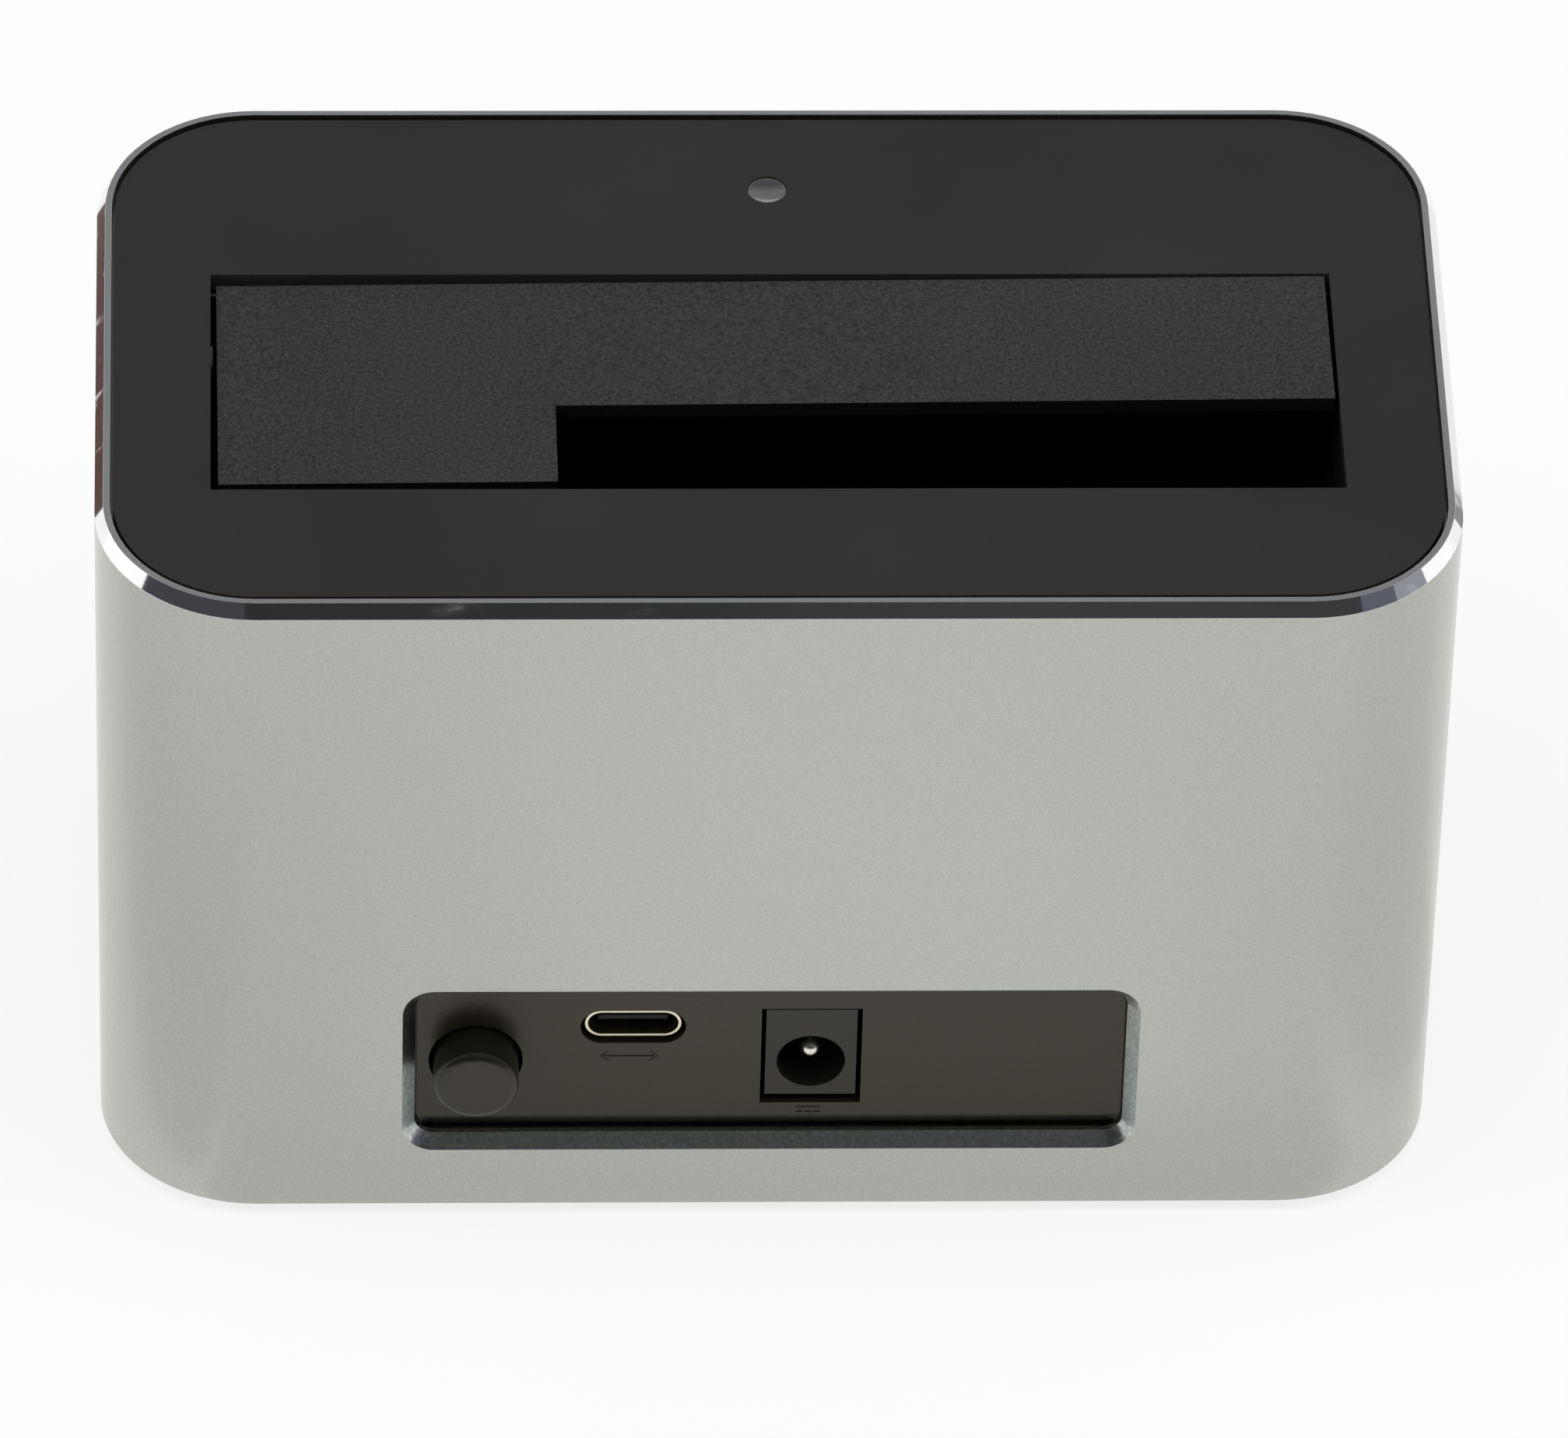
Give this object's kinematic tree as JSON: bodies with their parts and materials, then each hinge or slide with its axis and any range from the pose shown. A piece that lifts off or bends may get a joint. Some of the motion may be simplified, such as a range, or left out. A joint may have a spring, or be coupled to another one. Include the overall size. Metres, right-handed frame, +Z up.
{
  "type": "hard drive docking station",
  "caption": "Desktop dock with an aluminium sleeve, a sprung L-shaped flap over a drive slot, and a rear window with power button, data socket and power socket.",
  "frame": {"origin": "on the table, under the middle of the object's outline, the power button included", "axes": "+X along the drive slot, with the small drive's opening towards -X; +Y to the rear, where the ports are; +Z up"},
  "size_m": [0.124, 0.0722, 0.076],
  "materials": {
    "sleeve_metal": "bead-blasted and anodised, polished chamfers",
    "cover_plastic": "satin",
    "flap_plastic": "fine spark texture",
    "bay_plastic": "moulded, plain",
    "base_plastic": "fine spark texture",
    "panel_plastic": "semi-gloss",
    "button_plastic": "satin",
    "foot_rubber": "matte",
    "rod_steel": "ground",
    "spring_steel": "drawn wire",
    "board_green": "solder mask",
    "socket_black": "moulded",
    "contact_gold": "gold-plated",
    "shell_steel": "drawn, nickel-plated",
    "pin_metal": "nickel-plated",
    "terminal_metal": "tinned",
    "plunger_plastic": "moulded",
    "chip_black": "moulded epoxy",
    "choke_grey": "pressed powder",
    "can_metal": "drawn can",
    "lens_plastic": "milky, translucent",
    "lamp_plastic": "clear epoxy",
    "header_plastic": "moulded, cream",
    "lead_plastic": "wire insulation",
    "screw_zinc": "zinc-plated",
    "screw_black": "blackened"
  },
  "bodies": {
    "housing": {"aluminium_sleeve": "sleeve_metal", "top_cover": "cover_plastic", "drive_bay": "bay_plastic", "base_plate": "base_plastic", "rubber_feet": "foot_rubber", "port_panel": "panel_plastic", "hinge_rod": "rod_steel", "flap_spring": "spring_steel", "main_board": "board_green", "dock_housing": "socket_black", "dock_contacts": "contact_gold", "data_shell": "shell_steel", "data_tongue": "socket_black", "data_contacts": "contact_gold", "dc_jack_housing": "socket_black", "dc_jack_pin": "pin_metal", "dc_jack_leaf": "terminal_metal", "dc_jack_terminals": "terminal_metal", "switch_housing": "socket_black", "switch_spring": "spring_steel", "switch_terminals": "terminal_metal", "bridge_chip": "chip_black", "power_chips": "chip_black", "inductors": "choke_grey", "capacitors": "can_metal", "crystal": "can_metal", "light_pipe": "lens_plastic", "light_board": "board_green", "status_led": "lamp_plastic", "light_header": "header_plastic", "light_plug": "header_plastic", "light_wires": "lead_plastic", "cover_screws": "screw_zinc", "board_screws": "screw_zinc", "base_screws": "screw_black", "light_screws": "screw_zinc"},
    "flap": {"flap_door": "flap_plastic"},
    "button": {"button_cap": "button_plastic", "switch_plunger": "plunger_plastic"}
  },
  "joints": [
    {"name": "flap_hinge", "type": "hinge", "parent": "housing", "child": "flap", "pos_m": [0, -0.01353, 0.0722], "axis": [-1, 0, 0], "range_deg": [0, 90], "stiffness_Nm_per_rad": 0.004, "springref_deg": -57.3, "deforming": ["flap_spring"]},
    {"name": "button_slide", "type": "slide", "parent": "housing", "child": "button", "axis": [0, -1, 0], "range_m": [0, 0.0022], "stiffness_N_per_m": 400, "springref_m": -0.002, "deforming": ["switch_spring"]}
  ]
}
